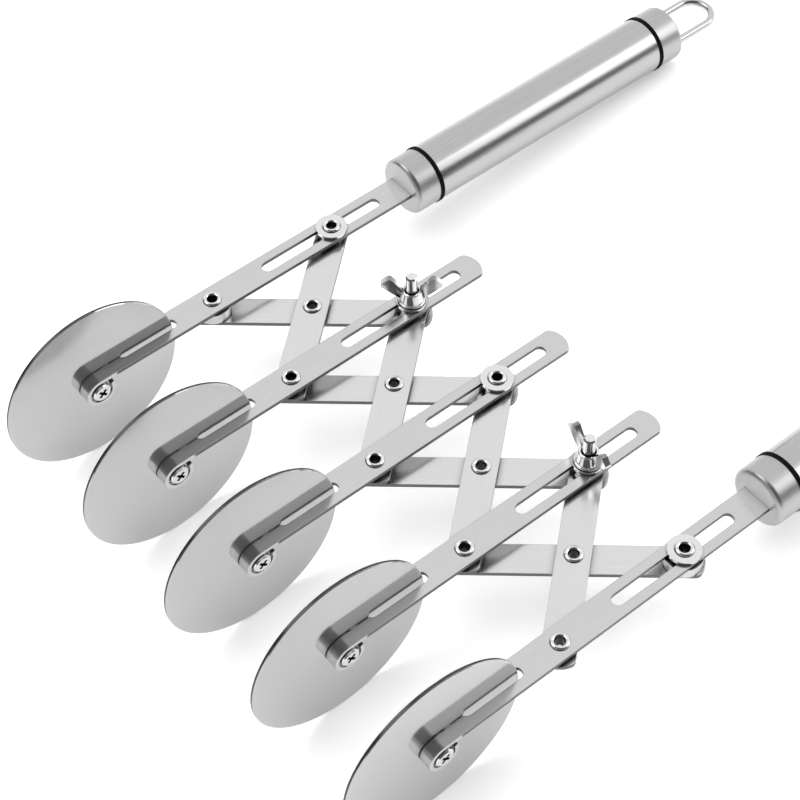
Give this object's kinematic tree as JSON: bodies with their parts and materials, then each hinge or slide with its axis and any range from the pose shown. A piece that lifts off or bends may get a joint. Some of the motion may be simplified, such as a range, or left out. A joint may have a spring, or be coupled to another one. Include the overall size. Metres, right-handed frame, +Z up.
{
  "type": "expandable dough cutter",
  "caption": "Steel dough cutter with round cutting wheels on a scissor frame that sets their spacing, wing nuts that lock it, and two tube handles with hanging loops.",
  "frame": {"origin": "bottom centre of the whole object as it lies on a table, below the middle of its length and width", "axes": "+X along the row of wheels, +Y from the wheels to the handles, +Z up from the table"},
  "size_m": [0.1796, 0.287, 0.06],
  "materials": {
    "strip_steel": "satin",
    "wheel_steel": "polished",
    "screw_steel": "polished",
    "rivet_steel": "polished",
    "washer_steel": "satin",
    "nut_steel": "polished",
    "tube_steel": "satin",
    "cap_steel": "polished",
    "ring_rubber": "matte",
    "wire_steel": "satin"
  },
  "bodies": {
    "arm_1_body": {"arm_1": "strip_steel", "axle_screw_1": "screw_steel", "axle_bushes_1": "screw_steel", "front_cap_1": "cap_steel", "handle_tube_1": "tube_steel", "handle_rings_1": "ring_rubber", "end_cap_1": "cap_steel", "hang_loop_1": "wire_steel"},
    "wheel_1_body": {"cutting_wheel_1": "wheel_steel"},
    "arm_2_body": {"arm_2": "strip_steel", "axle_screw_2": "screw_steel", "axle_bushes_2": "screw_steel"},
    "wheel_2_body": {"cutting_wheel_2": "wheel_steel"},
    "arm_3_body": {"arm_3": "strip_steel", "axle_screw_3": "screw_steel", "axle_bushes_3": "screw_steel"},
    "wheel_3_body": {"cutting_wheel_3": "wheel_steel"},
    "arm_4_body": {"arm_4": "strip_steel", "axle_screw_4": "screw_steel", "axle_bushes_4": "screw_steel"},
    "wheel_4_body": {"cutting_wheel_4": "wheel_steel"},
    "arm_5_body": {"arm_5": "strip_steel", "axle_screw_5": "screw_steel", "axle_bushes_5": "screw_steel", "front_cap_5": "cap_steel", "handle_tube_5": "tube_steel", "handle_rings_5": "ring_rubber", "end_cap_5": "cap_steel", "hang_loop_5": "wire_steel"},
    "wheel_5_body": {"cutting_wheel_5": "wheel_steel"},
    "link_a_1_body": {"link_a_1": "strip_steel", "link_rivets_1": "rivet_steel", "link_washers_1": "washer_steel", "slide_washer_1": "washer_steel"},
    "link_b_1_body": {"link_b_1": "strip_steel", "end_rivet_1": "rivet_steel", "spacer_1": "washer_steel"},
    "link_a_2_body": {"link_a_2": "strip_steel", "link_rivets_2": "rivet_steel", "link_washers_2": "washer_steel", "slide_washer_2": "washer_steel", "wing_bolt_2": "screw_steel"},
    "link_b_2_body": {"link_b_2": "strip_steel"},
    "link_a_3_body": {"link_a_3": "strip_steel", "link_rivets_3": "rivet_steel", "link_washers_3": "washer_steel", "slide_washer_3": "washer_steel"},
    "link_b_3_body": {"link_b_3": "strip_steel"},
    "link_a_4_body": {"link_a_4": "strip_steel", "link_rivets_4": "rivet_steel", "link_washers_4": "washer_steel", "slide_washer_4": "washer_steel", "wing_bolt_4": "screw_steel"},
    "link_b_4_body": {"link_b_4": "strip_steel", "end_rivet_5": "rivet_steel", "spacer_5": "washer_steel", "slide_washer_5": "washer_steel"},
    "wing_nut_2_body": {"wing_nut_2": "nut_steel"},
    "wing_nut_4_body": {"wing_nut_4": "nut_steel"}
  },
  "joints": [
    {"name": "frame_spread", "type": "hinge", "parent": "arm_3_body", "child": "link_b_3_body", "pos_m": [0, -0.06879, 0.02523], "axis": [0, -0.1059, -0.9944], "range_deg": [-28.3, 28.6]},
    {"name": "crossing_3", "type": "hinge", "parent": "link_b_3_body", "child": "link_a_3_body", "pos_m": [0.02, -0.04557, 0.02276], "axis": [0, 0.1059, 0.9944], "range_deg": [-56.6, 57.2]},
    {"name": "arm_4_pivot", "type": "hinge", "parent": "link_a_3_body", "child": "arm_4_body", "pos_m": [0.04, -0.06879, 0.02523], "axis": [0, -0.1059, -0.9944], "range_deg": [-28.3, 28.6]},
    {"name": "link_b_4_pivot", "type": "hinge", "parent": "arm_4_body", "child": "link_b_4_body", "pos_m": [0.04, -0.06879, 0.02523], "axis": [0, -0.1059, -0.9944], "range_deg": [-28.3, 28.6]},
    {"name": "crossing_4", "type": "hinge", "parent": "link_b_4_body", "child": "link_a_4_body", "pos_m": [0.06, -0.04557, 0.02276], "axis": [0, 0.1059, 0.9944], "range_deg": [-56.6, 57.2]},
    {"name": "arm_5_pivot", "type": "hinge", "parent": "link_a_4_body", "child": "arm_5_body", "pos_m": [0.08, -0.06879, 0.02523], "axis": [0, -0.1059, -0.9944], "range_deg": [-28.3, 28.6]},
    {"name": "link_a_2_pivot", "type": "hinge", "parent": "arm_3_body", "child": "link_a_2_body", "pos_m": [0, -0.06879, 0.02523], "axis": [0, 0.1059, 0.9944], "range_deg": [-28.3, 28.6]},
    {"name": "crossing_2", "type": "hinge", "parent": "link_a_2_body", "child": "link_b_2_body", "pos_m": [-0.02, -0.04557, 0.02276], "axis": [0, -0.1059, -0.9944], "range_deg": [-56.6, 57.2]},
    {"name": "arm_2_pivot", "type": "hinge", "parent": "link_b_2_body", "child": "arm_2_body", "pos_m": [-0.04, -0.06879, 0.02523], "axis": [0, 0.1059, 0.9944], "range_deg": [-28.3, 28.6]},
    {"name": "link_a_1_pivot", "type": "hinge", "parent": "arm_2_body", "child": "link_a_1_body", "pos_m": [-0.04, -0.06879, 0.02523], "axis": [0, 0.1059, 0.9944], "range_deg": [-28.3, 28.6]},
    {"name": "crossing_1", "type": "hinge", "parent": "link_a_1_body", "child": "link_b_1_body", "pos_m": [-0.06, -0.04557, 0.02276], "axis": [0, -0.1059, -0.9944], "range_deg": [-56.6, 57.2]},
    {"name": "arm_1_pivot", "type": "hinge", "parent": "link_b_1_body", "child": "arm_1_body", "pos_m": [-0.08, -0.06879, 0.02523], "axis": [0, 0.1059, 0.9944], "range_deg": [-28.3, 28.6]},
    {"name": "wheel_1_spin", "type": "hinge", "parent": "arm_1_body", "child": "wheel_1_body", "pos_m": [-0.08, -0.11354, 0.03], "axis": [1, 0, 0], "continuous": true},
    {"name": "wheel_2_spin", "type": "hinge", "parent": "arm_2_body", "child": "wheel_2_body", "pos_m": [-0.04, -0.11354, 0.03], "axis": [1, 0, 0], "continuous": true},
    {"name": "wheel_3_spin", "type": "hinge", "parent": "arm_3_body", "child": "wheel_3_body", "pos_m": [0, -0.11354, 0.03], "axis": [1, 0, 0], "continuous": true},
    {"name": "wheel_4_spin", "type": "hinge", "parent": "arm_4_body", "child": "wheel_4_body", "pos_m": [0.04, -0.11354, 0.03], "axis": [1, 0, 0], "continuous": true},
    {"name": "wheel_5_spin", "type": "hinge", "parent": "arm_5_body", "child": "wheel_5_body", "pos_m": [0.08, -0.11354, 0.03], "axis": [1, 0, 0], "continuous": true},
    {"name": "wing_nut_2_turn", "type": "hinge", "parent": "link_a_2_body", "child": "wing_nut_2_body", "pos_m": [-0.04, -0.0218, 0.02536], "axis": [0, 0.1059, 0.9944], "range_deg": [0, 450]},
    {"name": "wing_nut_4_turn", "type": "hinge", "parent": "link_a_4_body", "child": "wing_nut_4_body", "pos_m": [0.04, -0.0218, 0.02536], "axis": [0, 0.1059, 0.9944], "range_deg": [0, 450]}
  ],
  "couplings": [
    {"joint": "crossing_3", "follows": "frame_spread", "ratio": 2},
    {"joint": "arm_4_pivot", "follows": "frame_spread", "ratio": 1},
    {"joint": "link_b_4_pivot", "follows": "frame_spread", "ratio": 1},
    {"joint": "crossing_4", "follows": "frame_spread", "ratio": 2},
    {"joint": "arm_5_pivot", "follows": "frame_spread", "ratio": 1},
    {"joint": "link_a_2_pivot", "follows": "frame_spread", "ratio": 1},
    {"joint": "crossing_2", "follows": "frame_spread", "ratio": 2},
    {"joint": "arm_2_pivot", "follows": "frame_spread", "ratio": 1},
    {"joint": "link_a_1_pivot", "follows": "frame_spread", "ratio": 1},
    {"joint": "crossing_1", "follows": "frame_spread", "ratio": 2},
    {"joint": "arm_1_pivot", "follows": "frame_spread", "ratio": 1}
  ]
}
